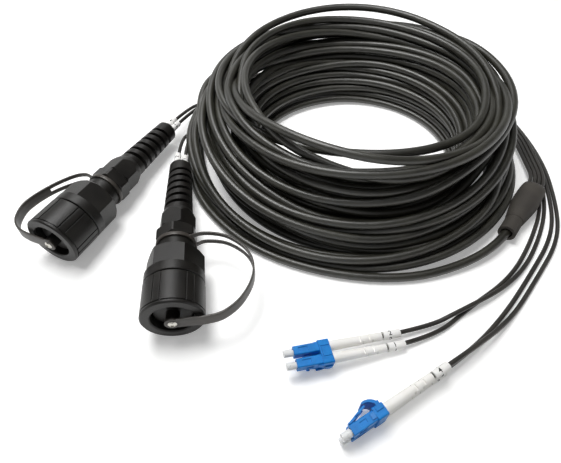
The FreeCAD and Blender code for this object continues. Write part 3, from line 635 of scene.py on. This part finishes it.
def sleeve_digits(name, digit, place, along, up):
    """Rows of one digit, cut into strips and wrapped round a sleeve; one row faces up."""
    bpy.ops.object.select_all(action="DESELECT")
    bpy.ops.object.text_add()
    text = bpy.context.object
    girth = 2 * math.pi * TAG_R
    text.data.body = "\n".join([digit] * DIGIT_ROWS)
    text.data.size = DIGIT_SIZE
    text.data.space_line = girth / DIGIT_ROWS / DIGIT_SIZE
    text.data.offset = DIGIT_BOLD
    text.data.extrude = DIGIT_PROUD
    text.data.align_x = "CENTER"
    text.data.align_y = "CENTER"
    bpy.ops.object.convert(target="MESH")
    obj = bpy.context.object
    obj.name = name
    obj.data.name = name
    bpy.ops.object.mode_set(mode="EDIT")
    bpy.ops.mesh.select_all(action="SELECT")
    bpy.ops.mesh.remove_doubles(threshold=DIGIT_MERGE)
    for i in range(1, DIGIT_SLICES):
        bpy.ops.mesh.select_all(action="SELECT")
        bpy.ops.mesh.bisect(plane_co=(0, girth * (i / DIGIT_SLICES - 0.5), 0), plane_no=(0, 1, 0))
    bpy.ops.mesh.select_all(action="SELECT")
    bpy.ops.mesh.normals_make_consistent(inside=False)
    bpy.ops.object.mode_set(mode="OBJECT")
    rise = up.cross(along)
    for vert in obj.data.vertices:
        angle = vert.co.y / TAG_R + math.pi / DIGIT_ROWS
        out = up * math.cos(angle) + rise * math.sin(angle)
        vert.co = (place + along * vert.co.x + out * (TAG_R + vert.co.z)) * MM
    bpy.ops.object.shade_smooth_by_angle(angle=math.radians(SMOOTH_DEG))
    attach(obj, "cord")
    return obj


digits = []
for number in lc_runs:
    seat, y = lc_place(number)
    up = -seat.z if number in FIRST_PAIR else -seat.y
    place = seat.at(TAG_END - LC_DIGIT_INSET, y, 0)
    digits.append(sleeve_digits("lc_digit_%d" % number, str(number), place, seat.x, up))
for k, (plug, hand) in enumerate(plug_ends):
    seat = plug_seats[plug]
    middle = TAIL_END + PLUG_TAG_GAPS[k % 2] + TAG_LEN / 2
    place = seat.at(hand * LEG_HALF_PITCH, 0, middle)
    digits.append(sleeve_digits("plug_digit_%d" % (k + 1), str(k + 1), place, seat.z, seat.y))


# Materials: what every surface shares; the grain's depth is in metres
PER_METRE = 1000.0
PATCH_DETAIL = 3.0
PATCH_DARK_END = 0.35
PATCH_LIGHT_END = 0.65
GRAIN_DETAIL = 2.0
GRAIN_DEPTH = 0.0002
EDGE_SAMPLES = 6
WHITE = (1.0, 1.0, 1.0, 1.0)


def linear(hex_colour):
    """An sRGB hex colour as linear RGBA."""
    parts = [int(hex_colour[i:i + 2], 16) / 255 for i in (1, 3, 5)]
    return [c / 12.92 if c <= 0.04045 else ((c + 0.055) / 1.055) ** 2.4 for c in parts] + [1.0]


def add(owner, kind, values=None, links=None):
    """Adds one shader node, sets its inputs and links others' outputs to it."""
    node = owner.node_tree.nodes.new(kind)
    for key, value in (values or {}).items():
        if hasattr(node, key):
            setattr(node, key, value)
        else:
            node.inputs[key].default_value = value
    for key, output in (links or {}).items():
        owner.node_tree.links.new(output, node.inputs[key])
    return node


def surface(name, dark, light, roughness, grain_mm, bump, patch_mm=12.0, spread=0.08, specular=0.5, ior=1.5,
            edge_mm=0.0, metallic=0.0, transmission=0.0):
    """A made surface: patchy colour, uneven roughness, a fine grain, and edges that look rounded."""
    material = bpy.data.materials.new(name)
    material.use_nodes = True
    shader = material.node_tree.nodes["Principled BSDF"]
    place = add(material, "ShaderNodeTexCoord").outputs["Object"]
    patch = add(material, "ShaderNodeTexNoise",
                {"Scale": PER_METRE / patch_mm, "Detail": PATCH_DETAIL}, {"Vector": place})
    ramp = add(material, "ShaderNodeValToRGB", links={"Fac": patch.outputs["Fac"]})
    dark_end, light_end = ramp.color_ramp.elements
    dark_end.position = PATCH_DARK_END
    dark_end.color = linear(dark)
    light_end.position = PATCH_LIGHT_END
    light_end.color = linear(light)
    rough = add(material, "ShaderNodeMapRange",
                {"To Min": roughness - spread, "To Max": roughness + spread},
                {"Value": patch.outputs["Fac"]})
    grain = add(material, "ShaderNodeTexNoise",
                {"Scale": PER_METRE / grain_mm, "Detail": GRAIN_DETAIL}, {"Vector": place})
    bumped = add(material, "ShaderNodeBump",
                 {"Strength": bump, "Distance": GRAIN_DEPTH}, {"Height": grain.outputs["Fac"]})
    links = material.node_tree.links
    if edge_mm:
        rounded = add(material, "ShaderNodeBevel", {"samples": EDGE_SAMPLES, "Radius": edge_mm * MM})
        links.new(rounded.outputs["Normal"], bumped.inputs["Normal"])
    links.new(ramp.outputs["Color"], shader.inputs["Base Color"])
    links.new(rough.outputs["Result"], shader.inputs["Roughness"])
    links.new(bumped.outputs["Normal"], shader.inputs["Normal"])
    shader.inputs["Specular IOR Level"].default_value = specular
    shader.inputs["IOR"].default_value = ior
    shader.inputs["Metallic"].default_value = metallic
    shader.inputs["Transmission Weight"].default_value = transmission
    return material


# The grains are drawn a few times coarser than real ones, so that they show at this size
materials = {
    # Satin black with an olive cast: a broad, soft line of light runs along each turn
    "cable_jacket": surface("extruded_polyurethane", "#1f1e16", "#2a291f",
                            roughness=0.43, grain_mm=0.6, bump=0.2, specular=0.9),
    # Satin black, with a narrow line of light on so thin a cord
    "leg_jacket": surface("extruded_pvc", "#25221f", "#302d29",
                          roughness=0.46, grain_mm=0.5, bump=0.2, specular=0.6, ior=1.53),
    # Nearly black, with a fine spark grain and a soft gloss on its rounded edges
    "plug_shell": surface("moulded_glass_filled_nylon", "#141210", "#1d1b18",
                          roughness=0.42, grain_mm=0.45, bump=0.35, specular=0.38, ior=1.53, edge_mm=0.35),
    # Grey-black and matt, with no clear highlight
    "fanout_rubber": surface("moulded_thermoplastic_rubber", "#3a3632", "#46423c",
                             roughness=0.75, grain_mm=0.6, bump=0.3),
    # Smooth dark grey that turns pale where it bends towards the light
    "strap_rubber": surface("moulded_epdm_rubber", "#37332f", "#45403b",
                            roughness=0.42, grain_mm=0.5, bump=0.2),
    # Matt black
    "seal_rubber": surface("moulded_nitrile_rubber", "#141413", "#1d1c1b",
                           roughness=0.7, grain_mm=0.5, bump=0.2, ior=1.52),
    # Bright, with small duller patches from tumbling
    "rivet_steel": surface("tumbled_stainless_steel", "#b9b6ae", "#d5d3cc",
                           roughness=0.25, grain_mm=0.2, bump=0.1, patch_mm=1.5, metallic=1.0),
    # Full blue with a low gloss
    "connector_blue": surface("moulded_pbt", "#0a78c8", "#1283d4",
                              roughness=0.42, grain_mm=0.35, bump=0.15, patch_mm=4.0,
                              specular=0.3, ior=1.55, edge_mm=0.15),
    # White, a little warm, with a soft gloss
    "boot_white": surface("moulded_soft_pvc", "#f6f4ef", "#f9f8f5",
                          roughness=0.5, grain_mm=0.4, bump=0.05, patch_mm=8.0, ior=1.53, edge_mm=0.1),
    # White and matt
    "tag_white": surface("cut_pvc_sleeve", "#f5f4f1", "#f9f8f6",
                         roughness=0.6, grain_mm=0.4, bump=0.05, patch_mm=8.0, ior=1.53),
    # Milky, letting a little light through
    "cap_clear": surface("moulded_polyethylene", "#f2f4f4", "#f8f9f9",
                         roughness=0.3, grain_mm=0.4, bump=0.05, patch_mm=6.0, ior=1.51, transmission=0.15),
    # Ivory with a sharp gloss
    "ferrule_ceramic": surface("ground_zirconia", "#e4e1d8", "#efece5",
                               roughness=0.2, grain_mm=0.2, bump=0.05, patch_mm=2.0, ior=2.15),
}

for subpart in frame["record"]["subparts"]:
    node = frame["nodes"][subpart["node"]]
    node.data.materials.clear()
    node.data.materials.append(materials[subpart["material_slot"]])
main_cable.data.materials.append(materials["cable_jacket"])
for leg in leg_objects:
    leg.data.materials.append(materials["leg_jacket"])
for strap in straps:
    strap.data.materials.append(materials["strap_rubber"])
for digit in digits:
    digit.data.materials.append(materials["seal_rubber"])

# Floor and backdrop, in metres: white paper that glows where it is seen, more beyond the lamps' reach
FLOOR_SIZE = 24.0
BACKDROP_HEIGHT = 3.4
BACKDROP_SINK = 0.01
BACKDROP_CORNERS = 96
NEAR_GLOW = 0.27
FAR_GLOW = 0.9
NEAR_REACH = 0.35
FAR_REACH = 1.1
paper = surface("white_paper", "#fbfbfa", "#fdfdfc",
                roughness=0.9, grain_mm=3.0, bump=0.02, patch_mm=200.0, specular=0.0)
rays = add(paper, "ShaderNodeLightPath")
seen = add(paper, "ShaderNodeMath", {"operation": "ADD"},
           {0: rays.outputs["Is Camera Ray"], 1: rays.outputs["Is Glossy Ray"]})
seen = add(paper, "ShaderNodeMath", {"operation": "ADD"},
           {0: seen.outputs["Value"], 1: rays.outputs["Is Transmission Ray"]})
place = add(paper, "ShaderNodeTexCoord")
reach = add(paper, "ShaderNodeVectorMath", {"operation": "LENGTH"}, {0: place.outputs["Object"]})
white = add(paper, "ShaderNodeMapRange",
            {"From Min": NEAR_REACH, "From Max": FAR_REACH, "To Min": NEAR_GLOW, "To Max": FAR_GLOW},
            {"Value": reach.outputs["Value"]})
glow = add(paper, "ShaderNodeMath", {"operation": "MULTIPLY"},
           {0: seen.outputs["Value"], 1: white.outputs["Result"]})
paper_shader = paper.node_tree.nodes["Principled BSDF"]
paper_shader.inputs["Emission Color"].default_value = WHITE
paper.node_tree.links.new(glow.outputs["Value"], paper_shader.inputs["Emission Strength"])
bpy.ops.mesh.primitive_plane_add(size=FLOOR_SIZE)
floor = bpy.context.object
floor.name = "floor"
bpy.ops.mesh.primitive_cylinder_add(vertices=BACKDROP_CORNERS, radius=FLOOR_SIZE / 2, depth=BACKDROP_HEIGHT,
                                    end_fill_type="NOTHING",
                                    location=(0, 0, BACKDROP_HEIGHT / 2 - BACKDROP_SINK))
backdrop = bpy.context.object
backdrop.name = "backdrop"
for sheet in (floor, backdrop):
    sheet.data.materials.append(paper)

# Light: a soft lamp overhead, weak ones behind and in front, and a dim sky that is brighter at the top
SKY_LOW = 0.02
SKY_HIGH = 0.14


def area_light(name, place, aim, size, power):
    """A square soft lamp, in metres and watts."""
    data = bpy.data.lights.new(name, "AREA")
    data.size = size
    data.energy = power
    obj = bpy.data.objects.new(name, data)
    obj.location = place
    obj.rotation_euler = (Vector(aim) - Vector(place)).to_track_quat("-Z", "Y").to_euler()
    scene.collection.objects.link(obj)


area_light("key", place=(-0.25, 0.15, 1.0), aim=(0, 0, 0), size=0.5, power=9.4)
area_light("back", place=(-0.25, 0.6, 0.75), aim=(0, 0, 0), size=0.5, power=1.6)
area_light("front", place=(-0.15, -0.75, 0.7), aim=(0, -0.05, 0), size=0.6, power=0.6)
world = bpy.data.worlds.new("world")
scene.world = world
world.use_nodes = True
direction = add(world, "ShaderNodeTexCoord")
axes = add(world, "ShaderNodeSeparateXYZ", links={"Vector": direction.outputs["Generated"]})
height = add(world, "ShaderNodeMapRange",
             {"To Min": SKY_LOW, "To Max": SKY_HIGH}, {"Value": axes.outputs["Z"]})
sky = world.node_tree.nodes["Background"]
sky.inputs["Color"].default_value = WHITE
world.node_tree.links.new(height.outputs["Result"], sky.inputs["Strength"])
scene.view_settings.view_transform = "Standard"
